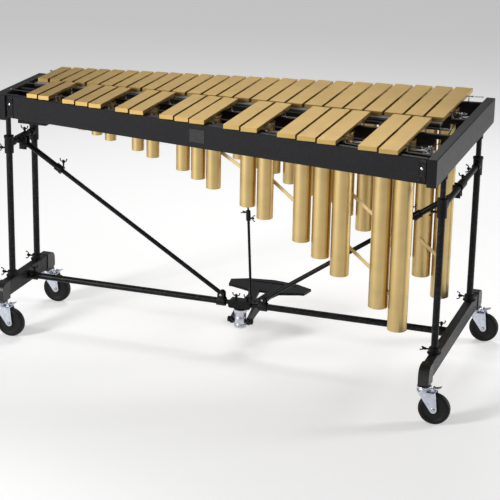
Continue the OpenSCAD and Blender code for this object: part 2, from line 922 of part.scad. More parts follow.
module motor() {
    color("#2a2a2d")
        translate([x_in, motor_yz[0], motor_yz[1]])
            rotate([0, -90, 0])
                difference() {
                    union() {
                        cylinder(r = 26, h = 30);
                        cylinder(r = 31, h = 4);
                        translate([0, 0, 29]) cylinder(r = 8, h = 4);
                    }
                    translate([0, 0, 10]) cylinder(r = motor_shaft_r + fit, h = 40);
                }
}

module motor_pulley() {
    color("#b9bcc4")
        translate([x_in - 34, motor_yz[0], motor_yz[1]])
            rotate([0, -90, 0]) {
                translate([0, 0, -22]) cylinder(r = motor_shaft_r, h = 23);
                cylinder(r = motor_pulley_r, h = 16);
                cylinder(r = motor_pulley_r + 3, h = 1.2);
                translate([0, 0, 14.8]) cylinder(r = motor_pulley_r + 3, h = 1.2);
            }
}

module shaft_pulley(x, y, turn) {
    translate([x, y, shaft_z])
        rotate([0, 90, turn]) {
            cylinder(r = shaft_pulley_r, h = 8, center = true);
            for (s = [-1, 1])
                translate([0, 0, s * 4.2]) cylinder(r = shaft_pulley_r + 2, h = 1, center = true);
        }
}

module belt(x, y) {
    motor_at = [motor_yz[1], motor_yz[0]];
    translate([x - belt_w / 2, 0, 0])
        rotate([0, 90, 0])
            mirror([1, 0, 0])
                linear_extrude(belt_w)
                    difference() {
                        hull() {
                            translate(motor_at) circle(r = motor_pulley_r + part_gap + belt_t);
                            translate([shaft_z, y]) circle(r = shaft_pulley_r + part_gap + belt_t);
                        }
                        hull() {
                            translate(motor_at) circle(r = motor_pulley_r + part_gap);
                            translate([shaft_z, y]) circle(r = shaft_pulley_r + part_gap);
                        }
                    }
}

module drive_belts() {
    color("#151517") {
        belt(pulley_x_natural, natural_line(pulley_x_natural, 0.5));
        belt(pulley_x_accidental, accidental_line(pulley_x_accidental, 0.5));
    }
}

// a round fan with two saddles that grip the shaft
module fan(x, y, turn) {
    r = tube_r(x) - tube_wall - 2;
    translate([x, y, shaft_z])
        rotate([0, 0, turn]) {
            translate([0, 0, shaft_r + 0.3]) cylinder(r = r, h = 1);
            for (s = [-1, 1])
                translate([s * r / 2, 0, 0])
                    rotate([0, 90, 0]) cylinder(r = shaft_r + 0.9, h = 5, center = true);
        }
}

natural_turn = atan((natural_line(100, 0.5) - natural_line(0, 0.5)) / 100);
accidental_turn = atan((accidental_line(100, 0.5) - accidental_line(0, 0.5)) / 100);

module natural_fans() {
    color("#b9bcc4") {
        natural_shaft_line(1 - x_in, x_in - 1, shaft_r);
        for (i = [0:naturals - 1]) fan(natural_x(i), natural_line(natural_x(i), 0.5), natural_turn);
        shaft_pulley(pulley_x_natural, natural_line(pulley_x_natural, 0.5), natural_turn);
    }
}

module accidental_fans() {
    color("#b9bcc4") {
        accidental_shaft_line(1 - x_in, x_in - 1, shaft_r);
        for (i = sharps) fan(gap_x(i), accidental_line(gap_x(i), 0.5), accidental_turn);
        shaft_pulley(pulley_x_accidental, accidental_line(pulley_x_accidental, 0.5),
            accidental_turn);
    }
}

// ---- screws and pins of the stand ----
module stand_screws() {
    color("#242427") {
        at_legs()
            translate([$side * x_leg - clamp_r, $yp, clamp_z + 16]) rotate([0, -90, 0]) wing_screw(8);
        at_legs()
            translate([$side * x_leg - socket_r, $yp, beam_top + 12]) rotate([0, -90, 0]) wing_screw(10);
        for (k = [0, 1]) {
            s = ends[k][0];
            translate([s * x_leg, 22, cross_z + 14]) wing_screw(4);
            translate([s * (x_leg - 36), 0, bar_axis_z + 15.5]) wing_screw(6);
            along(brace_start(k), brace_end(k))
                translate([-13, 0, sleeve_len + 14]) rotate([0, -90, 0]) wing_screw(6);
            translate([brace_top[k][0], 15.5, brace_top[k][1]]) rotate([90, 0, 0]) hex_bolt(31);
            translate([tees[k], 13.5, brace_foot_z]) rotate([90, 0, 0]) hex_bolt(27);
        }
        translate([pedal_x - 16, 0, bar_axis_z + 14]) wing_screw(6);
        translate([pedal_x + 24, 0, bar_axis_z + 14]) wing_screw(4);
        // pedal pivot pin with a round knob at each end
        translate([pedal_x - 36, 0, pivot_z]) rotate([0, 90, 0]) cylinder(r = 4, h = 72);
        for (s = [-1, 1])
            translate([pedal_x + s * 40, 0, pivot_z])
                rotate([0, 90, 0]) cylinder(r = 10, h = 10, center = true);
    }
}

// ---- casters, drawn about the swivel axis with the wheel trailing along +x ----
head_top = cap_z - 0.5;
crown_z = 2 * wheel_r + 4;
leg_y = wheel_w / 2 + 2.5;
head_r = 23;
brake_x = 29;               // brake lever's pin, behind the swivel axis
brake_z = crown_z + 9;

module fork_leg() {
    difference() {
        union() {
            polygon([[-14, crown_z + 3], [38, crown_z + 3], [40, crown_z - 8],
                [caster_trail + 9, wheel_r + 3], [caster_trail - 9.6, wheel_r + 4]]);
            translate([caster_trail, wheel_r]) circle(r = 10);
        }
        translate([caster_trail, wheel_r]) circle(r = 4);
    }
}

module caster_fork() {
    color("#b4b8bd") {
        translate([0, 0, head_top - 7]) cylinder(r = head_r, h = 7);
        translate([0, 0, crown_z + 3 - e])
            cylinder(r = head_r - 3, h = head_top - 7 - crown_z - 3 + 2 * e);
        translate([0, 0, head_top - e]) cylinder(r = stem_r, h = 36);
        translate([12, 0, crown_z + 1.5]) cube([52, 2 * leg_y + 3, 3], center = true);
        for (s = [-1, 1])
            translate([0, s * leg_y, 0])
                rotate([90, 0, 0]) linear_extrude(3, center = true) fork_leg();
        // ears and pin of the brake lever
        for (s = [-1, 1])
            translate([brake_x, s * 11, crown_z + 7]) cube([8, 2.5, 10], center = true);
        translate([brake_x, 0, brake_z]) rotate([90, 0, 0]) cylinder(r = 1.5, h = 24, center = true);
    }
    color("#9fa3a8")
        translate([caster_trail, 0, wheel_r])
            rotate([90, 0, 0]) {
                cylinder(r = 4, h = 2 * leg_y + 5, center = true);
                for (s = [-1, 1])
                    translate([0, 0, s * (leg_y + 3.5)]) cylinder(r = 7, h = 4, center = true, $fn = 6);
            }
}

module caster_wheel() {
    color("#161617")
        translate([caster_trail, 0, wheel_r])
            rotate([90, 0, 0])
                rotate_extrude($fn = 96)
                    polygon([[4 + fit, -wheel_w / 2], [14, -wheel_w / 2], [16, -wheel_w / 2 + 3],
                        [34, -wheel_w / 2 + 3], [37, -wheel_w / 2], [wheel_r - 4, -wheel_w / 2],
                        [wheel_r, -wheel_w / 2 + 4], [wheel_r, wheel_w / 2 - 4],
                        [wheel_r - 4, wheel_w / 2], [37, wheel_w / 2], [34, wheel_w / 2 - 3],
                        [16, wheel_w / 2 - 3], [14, wheel_w / 2], [4 + fit, wheel_w / 2]]);
}

module caster_brake() {
    color("#a9adb3")
        translate([brake_x, 0, brake_z])
            rotate([90, 0, 0])
                difference() {
                    union() {
                        cylinder(r = 3.4, h = 18, center = true);
                        linear_extrude(18, center = true)
                            polygon([[0, 0.5], [2, 3.3], [14, 5], [24, 9], [25, 6.5], [15, 2], [3, 0]]);
                    }
                    cylinder(r = 1.5 + fit, h = 40, center = true);
                }
}

module at_caster(side, back) {
    k = side < 0 ? 0 : 1;
    translate([side * x_leg, back * stem_y[k], 0]) children();
}

module fork_front_high() { at_caster(-1, -1) caster_fork(); }

module wheel_front_high() { at_caster(-1, -1) caster_wheel(); }

module brake_front_high() { at_caster(-1, -1) caster_brake(); }

module fork_rear_high() { at_caster(-1, 1) caster_fork(); }

module wheel_rear_high() { at_caster(-1, 1) caster_wheel(); }

module brake_rear_high() { at_caster(-1, 1) caster_brake(); }

module fork_front_low() { at_caster(1, -1) caster_fork(); }

module wheel_front_low() { at_caster(1, -1) caster_wheel(); }

module brake_front_low() { at_caster(1, -1) caster_brake(); }

module fork_rear_low() { at_caster(1, 1) caster_fork(); }

module wheel_rear_low() { at_caster(1, 1) caster_wheel(); }

module brake_rear_low() { at_caster(1, 1) caster_brake(); }

module placed() { translate(origin_shift) children(); }

placed() base_beams();
placed() beam_end_caps();
placed() leg_sockets();
placed() leg_tubes();
placed() leg_clamps();
placed() cross_tubes();
placed() brace_brackets();
placed() brace_sleeves();
placed() brace_rods();
placed() crossbar();
placed() crossbar_fittings();
placed() pedal_carriage();
placed() spring_housing();
placed() pedal_spring();
placed() stand_screws();
placed() pedal();
placed() pedal_rod();
placed() rod_clutch();
placed() rod_extension();
placed() damper_bar();
placed() damper_felt();
placed() damper_springs();
placed() end_panel_high();
placed() end_panel_low();
placed() fascia();
placed() bar_rails();
placed() crossmembers();
placed() frame_brackets();
placed() leg_posts();
placed() frame_screws();
placed() cord_posts();
placed() bar_cords();
placed() natural_bars_low();
placed() natural_bars_high();
placed() accidental_bars_low();
placed() accidental_bars_high();
placed() natural_resonators();
placed() accidental_resonators();
placed() resonator_stoppers();
placed() resonator_rails();
placed() resonator_straps();
placed() control_box();
placed() motor();
placed() drive_belts();
placed() natural_fans();
placed() accidental_fans();
placed() motor_pulley();
placed() fork_front_high();
placed() wheel_front_high();
placed() brake_front_high();
placed() fork_rear_high();
placed() wheel_rear_high();
placed() brake_rear_high();
placed() fork_front_low();
placed() wheel_front_low();
placed() brake_front_low();
placed() fork_rear_low();
placed() wheel_rear_low();
placed() brake_rear_low();
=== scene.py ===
"""A vibraphone on its wheeled stand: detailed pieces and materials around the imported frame."""

import json
import math

import bmesh
import bpy
from mathutils import Matrix, Vector, noise


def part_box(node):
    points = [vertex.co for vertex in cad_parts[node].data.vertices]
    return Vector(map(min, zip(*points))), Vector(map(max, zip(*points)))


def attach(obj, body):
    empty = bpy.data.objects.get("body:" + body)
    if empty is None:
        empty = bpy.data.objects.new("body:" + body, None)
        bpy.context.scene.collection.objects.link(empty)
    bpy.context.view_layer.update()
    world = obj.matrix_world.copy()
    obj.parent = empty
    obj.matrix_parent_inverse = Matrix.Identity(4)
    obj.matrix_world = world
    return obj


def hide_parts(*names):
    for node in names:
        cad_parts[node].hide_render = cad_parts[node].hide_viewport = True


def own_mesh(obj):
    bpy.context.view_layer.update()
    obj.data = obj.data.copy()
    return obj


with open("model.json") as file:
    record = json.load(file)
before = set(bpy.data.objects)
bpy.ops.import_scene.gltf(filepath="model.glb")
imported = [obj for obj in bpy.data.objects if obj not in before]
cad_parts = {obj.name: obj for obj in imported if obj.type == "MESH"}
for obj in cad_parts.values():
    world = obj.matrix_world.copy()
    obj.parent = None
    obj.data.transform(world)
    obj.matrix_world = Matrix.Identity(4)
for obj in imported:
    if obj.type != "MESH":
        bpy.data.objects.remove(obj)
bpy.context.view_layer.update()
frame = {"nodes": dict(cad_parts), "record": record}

MM = 0.001
X, Y, Z = Vector((1, 0, 0)), Vector((0, 1, 0)), Vector((0, 0, 1))
BEHAVIOUR = frame["record"]["behaviour"]
BODY_OF = {node: body for body, nodes in BEHAVIOUR["bodies"].items() for node in nodes}
SLOT_OF = {part["node"]: part["material_slot"] for part in frame["record"]["subparts"]}
JOINTS = {joint["name"]: joint for joint in BEHAVIOUR["joints"]}


# ---- materials ----
class Finish:
    """A procedural material: a shader, metric coordinates and a chain of bumps."""

    def __init__(self, name, color, metallic=0.0, roughness=0.5, **sockets):
        self.material = bpy.data.materials.new(name)
        self.material.use_nodes = True
        self.tree = self.material.node_tree
        self.shader = self.tree.nodes["Principled BSDF"]
        self.shader.inputs["Base Color"].default_value = (*color, 1)
        self.shader.inputs["Metallic"].default_value = metallic
        self.shader.inputs["Roughness"].default_value = roughness
        for socket, value in sockets.items():
            self.shader.inputs[socket.replace("_", " ")].default_value = value
        self.slot = name
        self.roughness = roughness
        self.place = self.node("ShaderNodeTexCoord").outputs["Object"]
        self.last_bump = None

    def node(self, kind, **settings):
        made = self.tree.nodes.new(kind)
        for key, value in settings.items():
            setattr(made, key, value)
        return made

    def link(self, source, target):
        self.tree.links.new(source, target)

    def scaled(self, size):
        """Coordinates in which a feature of that size, in metres along each axis, is one unit."""
        mapping = self.node("ShaderNodeMapping")
        mapping.inputs["Scale"].default_value = [1 / s for s in size]
        self.link(self.place, mapping.inputs["Vector"])
        return mapping.outputs["Vector"]

    def noise(self, size, detail=3.0, rough=0.55):
        made = self.node("ShaderNodeTexNoise")
        made.inputs["Scale"].default_value = 1.0
        made.inputs["Detail"].default_value = detail
        made.inputs["Roughness"].default_value = rough
        self.link(self.scaled(size), made.inputs["Vector"])
        return made.outputs["Fac"]

    def cells(self, size, feature="F1"):
        made = self.node("ShaderNodeTexVoronoi", feature=feature)
        made.inputs["Scale"].default_value = 1.0
        self.link(self.scaled(size), made.inputs["Vector"])
        return made.outputs["Distance"]

    def remap(self, value, low, high, to_low, to_high):
        made = self.node("ShaderNodeMapRange")
        limits = {"From Min": low, "From Max": high, "To Min": to_low, "To Max": to_high}
        for socket, number in limits.items():
            made.inputs[socket].default_value = number
        self.link(value, made.inputs["Value"])
        return made.outputs["Result"]

    def product(self, a, b):
        made = self.node("ShaderNodeMath", operation="MULTIPLY")
        self.link(a, made.inputs[0])
        self.link(b, made.inputs[1])
        return made.outputs["Value"]

    def vary_color(self, value, low, high, stops):
        """Paints the base colour from a value through a ramp of (position, colour) stops."""
        ramp = self.node("ShaderNodeValToRGB")
        while len(ramp.color_ramp.elements) < len(stops):
            ramp.color_ramp.elements.new(0.5)
        for element, (position, color) in zip(ramp.color_ramp.elements, stops):
            element.position = position
            element.color = (*color, 1)
        self.link(self.remap(value, low, high, 0, 1), ramp.inputs["Fac"])
        self.link(ramp.outputs["Color"], self.shader.inputs["Base Color"])

    def vary_roughness(self, value, low, high, spread):
        rough = self.remap(value, low, high, self.roughness - spread, self.roughness + spread)
        self.link(rough, self.shader.inputs["Roughness"])

    def bump(self, value, height, strength=1.0):
        made = self.node("ShaderNodeBump")
        made.inputs["Distance"].default_value = height
        made.inputs["Strength"].default_value = strength
        self.link(value, made.inputs["Height"])
        if self.last_bump is not None:
            self.link(self.last_bump, made.inputs["Normal"])
        self.last_bump = made.outputs["Normal"]
        self.link(self.last_bump, self.shader.inputs["Normal"])

    def edge_wear(self, worn, amount=0.5):
        """Blends the painted base colour to a worn one where the surface is sharply convex."""
        sharp = self.node("ShaderNodeNewGeometry").outputs["Pointiness"]
        mask = self.remap(sharp, 0.52, 0.60, 0, amount)
        patch = self.remap(self.noise((9 * MM,) * 3), 0.45, 0.7, 0, 1)
        mix = self.node("ShaderNodeMix", data_type="RGBA")
        factor, fresh, bare, mixed = mix.inputs[0], mix.inputs[6], mix.inputs[7], mix.outputs[2]
        self.link(self.product(mask, patch), factor)
        socket = self.shader.inputs["Base Color"]
        self.link(socket.links[0].from_socket, fresh)
        bare.default_value = (*worn, 1)
        self.link(mixed, socket)


def shade(color, factor):
    return tuple(min(1.0, c * factor) for c in color)


def gold_anodised(name, color, roughness, brushed_along):
    """Anodised aluminium: fine grain, faint brushing and slow drifts of tone."""
    finish = Finish(name, color, metallic=1.0, roughness=roughness)
    drift = finish.noise((90 * MM, 120 * MM, 60 * MM), detail=2)
    finish.vary_color(drift, 0.3, 0.7,
                      [(0, shade(color, 0.93)), (0.5, color), (1, shade(color, 1.05))])
    grain = finish.noise((0.35 * MM,) * 3, detail=2)
    brushing = finish.noise(brushed_along, detail=2)
    finish.vary_roughness(brushing, 0.3, 0.7, 0.05)
    finish.bump(grain, 0.02 * MM, 0.6)
    finish.bump(brushing, 0.012 * MM, 0.5)
    return finish


def lacquer(name, color, roughness):
    """Sprayed lacquer on board: soft orange peel with dust-fine speckle."""
    finish = Finish(name, color, roughness=roughness, Specular_IOR_Level=0.17)
    finish.vary_color(finish.noise((70 * MM,) * 3, detail=4), 0.3, 0.7,
                      [(0, shade(color, 0.95)), (1, shade(color, 1.06))])
    finish.vary_roughness(finish.noise((25 * MM,) * 3, detail=4), 0.3, 0.7, 0.02)
    finish.bump(finish.noise((1.6 * MM,) * 3, detail=2), 0.02 * MM, 0.3)
    finish.bump(finish.noise((0.3 * MM,) * 3, detail=1), 0.015 * MM, 0.5)
    finish.edge_wear(shade(color, 2.6), 0.4)
    return finish


def powder_coat(name, color, roughness, grain=0.5):
    """Black powder coat: pebbled skin, rubbed lighter on its edges."""
    finish = Finish(name, color, roughness=roughness, Specular_IOR_Level=0.14)
    finish.vary_color(finish.noise((40 * MM,) * 3, detail=3), 0.3, 0.7,
                      [(0, shade(color, 0.8)), (1, shade(color, 1.25))])
    finish.vary_roughness(finish.noise((12 * MM,) * 3, detail=4), 0.3, 0.7, 0.07)
    finish.bump(finish.cells((grain * MM,) * 3, "SMOOTH_F1"), 0.04 * MM, 0.5)
    finish.edge_wear((0.08, 0.08, 0.085), 0.6)
    return finish


def bare_metal(name, color, roughness, lines, wear=(0.2, 0.2, 0.2)):
    """Plated or brushed metal: fine lines, cloudy patches of roughness."""
    finish = Finish(name, color, metallic=1.0, roughness=roughness)
    finish.vary_color(finish.noise((14 * MM,) * 3, detail=5), 0.3, 0.7,
                      [(0, shade(color, 0.85)), (0.55, color), (1, shade(color, 1.1))])
    finish.vary_roughness(finish.noise((6 * MM,) * 3, detail=4), 0.3, 0.7, 0.09)
    finish.bump(finish.noise(lines, detail=3), 0.012 * MM, 0.6)
    finish.edge_wear(wear, 0.35)
    return finish


def rubber(name, color, roughness):
    finish = Finish(name, color, roughness=roughness, Specular_IOR_Level=0.25)
    finish.vary_color(finish.noise((11 * MM,) * 3, detail=6), 0.3, 0.75,
                      [(0, shade(color, 0.75)), (0.6, color), (1, shade(color, 2.0))])
    finish.vary_roughness(finish.noise((5 * MM,) * 3, detail=4), 0.3, 0.7, 0.08)
    finish.bump(finish.noise((0.9 * MM,) * 3, detail=4), 0.05 * MM, 0.5)
    return finish


def pressed_felt(name, color):
    """Felt: short matted fibres over slow lumps, with a soft sheen."""
    finish = Finish(name, color, roughness=0.95, Sheen_Weight=0.5, Sheen_Roughness=0.6)
    mats = finish.noise((1.2 * MM, 2.5 * MM, 1.2 * MM), detail=8, rough=0.8)
    finish.vary_color(mats, 0.25, 0.75,
                      [(0, shade(color, 0.5)), (0.5, color), (1, shade(color, 1.9))])
    fibres = finish.noise((0.5 * MM, 1.4 * MM, 0.5 * MM), detail=8, rough=0.85)
    finish.bump(fibres, 0.4 * MM, 0.8)
    return finish


def braid(name, color):
    """Plaited cord: crossed strands as a tight diagonal wave, with painted shade in the grooves
    between strands and a painted highlight on their crests.
    """
    finish = Finish(name, color, roughness=0.8, Sheen_Weight=0.3)
    wave = finish.node("ShaderNodeTexWave", bands_direction="DIAGONAL")
    wave.inputs["Scale"].default_value = 0.35
    wave.inputs["Distortion"].default_value = 0.6
    finish.link(finish.scaled((0.5 * MM, 0.35 * MM, 0.35 * MM)), wave.inputs["Vector"])
    # The colour follows the bump's wave: painted shade in the grooves, painted highlight on the
    # crests.
    finish.vary_color(wave.outputs["Fac"], 0.2, 0.8,
                      [(0, shade(color, 0.5)), (1, shade(color, 2.2))])
    finish.bump(wave.outputs["Fac"], 0.15 * MM, 0.8)
    return finish


def moulded(name, color, roughness):
    """Moulded black plastic with a fine spark-eroded grain."""
    finish = Finish(name, color, roughness=roughness, Specular_IOR_Level=0.45)
    finish.vary_color(finish.noise((30 * MM,) * 3, detail=4), 0.3, 0.7,
                      [(0, shade(color, 0.85)), (1, shade(color, 1.2))])
    finish.vary_roughness(finish.noise((4 * MM,) * 3, detail=3), 0.3, 0.7, 0.06)
    finish.bump(finish.cells((0.7 * MM,) * 3), 0.03 * MM, 0.5)
    finish.edge_wear((0.06, 0.06, 0.062), 0.4)
    return finish


BAR_GOLD = (0.58, 0.392, 0.134)
TUBE_GOLD = (0.63, 0.462, 0.205)

LOOKS = {finish.slot: finish for finish in (
    gold_anodised("gold_bar", BAR_GOLD, 0.38, (0.5 * MM, 40 * MM, 0.5 * MM)),
    gold_anodised("gold_tube", TUBE_GOLD, 0.36, (0.6 * MM, 0.6 * MM, 30 * MM)),
    gold_anodised("gold_strap", (0.74, 0.56, 0.28), 0.42, (30 * MM, 0.5 * MM, 0.5 * MM)),
    gold_anodised("stopper", (0.40, 0.30, 0.15), 0.5, (0.6 * MM,) * 3),
    lacquer("charcoal_panel", (0.0095, 0.0095, 0.0113), 0.42),
    lacquer("charcoal_fascia", (0.0100, 0.0098, 0.0115), 0.46),
    lacquer("black_rail", (0.006, 0.006, 0.007), 0.5),
    powder_coat("black_tube", (0.0048, 0.0048, 0.0053), 0.34),
    powder_coat("black_casting", (0.0052, 0.0052, 0.0057), 0.42, 0.8),
    powder_coat("black_beam", (0.014, 0.014, 0.016), 0.42, 0.6),
    moulded("black_plastic", (0.007, 0.007, 0.0075), 0.40),
    powder_coat("dark_box", (0.030, 0.030, 0.034), 0.5, 1.4),
    bare_metal("silver", (0.60, 0.62, 0.68), 0.34, (0.4 * MM, 0.4 * MM, 25 * MM)),
    bare_metal("steel", (0.50, 0.50, 0.51), 0.28, (0.3 * MM, 0.3 * MM, 8 * MM)),
    bare_metal("chrome", (0.86, 0.86, 0.88), 0.12, (0.3 * MM,) * 3),
    bare_metal("zinc", (0.62, 0.66, 0.74), 0.36, (0.5 * MM, 6 * MM, 0.5 * MM)),
    rubber("wheel_rubber", (0.0065, 0.0062, 0.0068), 0.55),
    rubber("belt_rubber", (0.012, 0.012, 0.012), 0.6),
    pressed_felt("felt", (0.035, 0.035, 0.038)),
    braid("cord", (0.02, 0.02, 0.022)),
)}


# ---- pieces ----
def smooth(mesh, angle):
    mesh.shade_smooth()
    mesh.set_sharp_from_angle(angle=math.radians(angle))


def to_mesh(name, bm, angle=35):
    """A mesh from a bmesh, smooth-shaded up to an angle in degrees."""
    bmesh.ops.recalc_face_normals(bm, faces=bm.faces)
    mesh = bpy.data.meshes.new(name)
    bm.to_mesh(mesh)
    bm.free()
    smooth(mesh, angle)
    return mesh


def add_mesh(name, mesh, body, slot, bevel=0.0, segments=2, replaced=()):
    """Puts a finished mesh in the scene: its look, its soft edges and the body it rides on."""
    piece = bpy.data.objects.new(name, mesh)
    bpy.context.scene.collection.objects.link(piece)
    mesh.materials.clear()
    mesh.materials.append(LOOKS[slot].material)
    if bevel:
        edge = piece.modifiers.new("edges", "BEVEL")
        edge.width = bevel * MM
        edge.segments = segments
        edge.limit_method = "ANGLE"
        edge.angle_limit = math.radians(40)
        edge.harden_normals = False
    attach(piece, body)
    if replaced:
        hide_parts(*replaced)
    return piece


def add_piece(name, bm, body, slot, angle=35, **more):
    return add_mesh(name, to_mesh(name, bm, angle), body, slot, **more)


def stand_in(node, bm, slot, angle=35, bevel=0.0):
    """A finer piece in the place of one CAD node."""
    add_piece(node + "_fine", bm, BODY_OF[node], slot, angle, bevel=bevel, replaced=(node,))


# ---- reading the frame ----
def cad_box(node):
    low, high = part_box(node)
    return Vector(low), Vector(high)


def centre_of(pair):
    return (pair[0] + pair[1]) / 2


def welded(node):
    """A CAD node's solids as one clean bmesh, with each flat face whole."""
    bm = bmesh.new()
    bm.from_mesh(frame["nodes"][node].data)
    bmesh.ops.remove_doubles(bm, verts=bm.verts, dist=0.004 * MM)
    bmesh.ops.dissolve_limit(bm, angle_limit=math.radians(0.6), verts=bm.verts, edges=bm.edges)
    return bm


def islands(node):
    """The (low corner, high corner) of each separate solid of a CAD node."""
    bm = welded(node)
    left = set(bm.verts)
    boxes = []
    while left:
        grown, stack = [], [left.pop()]
        while stack:
            vert = stack.pop()
            grown.append(vert.co.copy())
            for edge in vert.link_edges:
                other = edge.other_vert(vert)
                if other in left:
                    left.discard(other)
                    stack.append(other)
        boxes.append((Vector(map(min, *grown)), Vector(map(max, *grown))))
    bm.free()
    return boxes


# ---- shapes ----
def turned_to(direction, up=Z):
    """A rotation whose local Z points along the direction and whose local X stays near up."""
    z = direction.normalized()
    x = up - z * up.dot(z)
    if x.length < 1e-3:
        x = X - z * X.dot(z)
    x.normalize()
    return Matrix((x, z.cross(x), z)).transposed()


def placed(direction, at, up=Z):
    return Matrix.Translation(at) @ turned_to(direction, up).to_4x4()


def on_circle(radius, angle, height):
    """A local point from polar sizes in mm and an angle in radians."""
    return Vector((radius * math.cos(angle), radius * math.sin(angle), height)) * MM


def whole_turn(steps):
    return [2 * math.pi * k / steps for k in range(steps)]


def bridged(bm, low, high):
    """Quads between two closed loops of as many points, or a fan where one is a single point."""
    steps = max(len(low), len(high))
    for k in range(steps):
        n = (k + 1) % steps
        corners = [low[k % len(low)], low[n % len(low)], high[n % len(high)], high[k % len(high)]]
        bm.faces.new(list(dict.fromkeys(corners)))


def lathe(bm, profile, matrix=Matrix(), steps=48):
    """Turns a list of (radius, height) points, in mm, about the local Z axis."""
    rings = []
    for radius, height in profile:
        turn = whole_turn(steps) if radius else [0]
        rings.append([bm.verts.new(matrix @ on_circle(radius, a, height)) for a in turn])
    for low, high in zip(rings, rings[1:]):
        bridged(bm, low, high)
    for end in (rings[0], rings[-1]):
        if len(end) > 1:
            bm.faces.new(end)


def sweep(bm, path, radius, sides=10, taper=None):
    """A round rod along a list of points in metres. taper gives the radius share at each point."""
    side = None
    rings = []
    for k, point in enumerate(path):
        ahead = path[min(k + 1, len(path) - 1)] - path[max(k - 1, 0)]
        ahead.normalize()
        side = ahead.orthogonal() if side is None else side - ahead * side.dot(ahead)
        side.normalize()
        other = ahead.cross(side)
        r = radius * (taper[k] if taper else 1)
        rings.append([bm.verts.new(point + side * r * math.cos(a) + other * r * math.sin(a))
                      for a in whole_turn(sides)])
    for low, high in zip(rings, rings[1:]):
        bridged(bm, low, high)
    bm.faces.new(rings[0])
    bm.faces.new(rings[-1])


def curve_points(points, per_span=6):
    """Smooth points through a short list of them (Catmull-Rom)."""
    pts = [points[0] * 2 - points[1], *points, points[-1] * 2 - points[-2]]
    out = []
    for a, b, c, d in zip(pts, pts[1:], pts[2:], pts[3:]):
        for k in range(per_span):
            t = k / per_span
            out.append(0.5 * (2 * b + (c - a) * t + (2 * a - 5 * b + 4 * c - d) * t * t
                              + (3 * b - a - 3 * c + d) * t ** 3))
    out.append(points[-1].copy())
    return out


def closed_lathe(bm, profile, matrix=Matrix(), steps=64):
    """Turns a closed loop of (radius, height) points, in mm, into a hollow ring."""
    rings = [[bm.verts.new(matrix @ on_circle(radius, a, height)) for a in whole_turn(steps)]
             for radius, height in profile]
    for low, high in zip(rings, rings[1:] + rings[:1]):
        bridged(bm, low, high)


def prism(bm, outline, low, high, matrix=Matrix()):
    """A plate: an outline in mm in the local XY plane, between two local heights in mm."""
    sheets = [[bm.verts.new(matrix @ (Vector((x, y, height)) * MM)) for x, y in outline]
              for height in (low, high)]
    bm.faces.new(sheets[0])
    bm.faces.new(sheets[1])
    bridged(bm, *sheets)


def arc(cx, cy, radius, start, stop, steps=12):
    """Points of an arc between two angles in degrees."""
    turn = [math.radians(start + (stop - start) * k / steps) for k in range(steps + 1)]
    return [(cx + radius * math.cos(a), cy + radius * math.sin(a)) for a in turn]


def helix(bm, at, direction, radius, wire, length, turns, sides=8):
    """A coil spring of sizes in mm, with closed, flattened end turns."""
    m = placed(direction, at)
    path = []
    steps = int(turns * 18)
    flat = 0.12                 # share of the wire that lies flat at either end
    for k in range(steps + 1):
        t = k / steps
        climb = min(1.0, max(0.0, (t - flat) / (1 - 2 * flat)))
        height = wire + (length - 2 * wire) * climb
        path.append(m @ on_circle(radius, 2 * math.pi * turns * t, height))
    sweep(bm, path, wire * MM, sides)


def ring(bm, at, axis, major, minor, steps=24, sides=10):
    """A torus of two radii in mm."""
    m = placed(axis, at)
    loops = [[bm.verts.new(m @ on_circle(major + minor * math.cos(b), a, minor * math.sin(b)))
              for b in whole_turn(sides)] for a in whole_turn(steps)]
    for low, high in zip(loops, loops[1:] + loops[:1]):
        bridged(bm, low, high)


# ---- screws ----
def wing_screw(bm, at, direction, shank=8.0, scale=1.0, up=Z):
    """A cast thumb screw: threaded shank, collar, hub and two curved arms with ball tips."""
    m = placed(direction, at, up) @ Matrix.Scale(scale, 4)
    turns = int(shank)
    threads = []
    for k in range(turns):
        threads += [(2.6, k * shank / turns), (3.0, (k + 0.5) * shank / turns)]
    hub = [(2.6, 0), (4.6, 0.2), (5.2, 1.0), (4.9, 2.2), (3.8, 3.4), (3.9, 7.0), (4.6, 8.6),
           (4.2, 10.4), (2.6, 11.4), (0, 11.7)]
    lathe(bm, [(0, 0), *threads, *((radius, shank + height) for radius, height in hub)], m, 24)
    wing = [(2.0, 6.4), (5.6, 6.2), (8.8, 7.2), (11.0, 9.6), (11.9, 12.6), (12.2, 14.2)]
    for s in (-1, 1):
        arm = [Vector((s * x, 0, shank + z)) * MM for x, z in wing]
        path = [m @ p for p in curve_points(arm)]
        shares = [1.15 - 0.35 * k / (len(path) - 1) for k in range(len(path))]
        sweep(bm, path, 1.9 * MM * scale, 10, shares)
        tip = m @ Matrix.Translation(arm[-1])
        bmesh.ops.create_uvsphere(bm, u_segments=14, v_segments=9, radius=2.5 * MM, matrix=tip)


def hex_head(bm, at, direction, across=10.0, height=4.0):
    """A hexagon head or nut with a chamfered face on a round washer."""
    m = placed(direction, at)
    washer = across * 0.68
    lathe(bm, [(0, -0.4), (washer, -0.4), (washer, 0.6), (0, 0.6)], m, 32)
    corner = across / math.sqrt(3)
    lathe(bm, [(0, 0.6), (corner, 0.6), (corner, height - 0.6), (corner * 0.86, height),
               (0, height)], m, 6)


def socket_head(bm, at, direction, radius, height):
    """A round head with a recess."""
    lathe(bm, [(0, 0), (radius, 0), (radius, height - 0.5), (radius - 0.5, height),
               (radius * 0.55, height), (radius * 0.5, height - 1.6), (0, height - 1.6)],
          placed(direction, at), 24)


def domed_head(bm, at, direction, radius, height):
    """A low domed screw head."""
    lathe(bm, [(0, 0), (radius, 0), (radius, 0.5), (radius * 0.9, height * 0.6),
               (radius * 0.6, height * 0.9), (0, height)], placed(direction, at), 32)


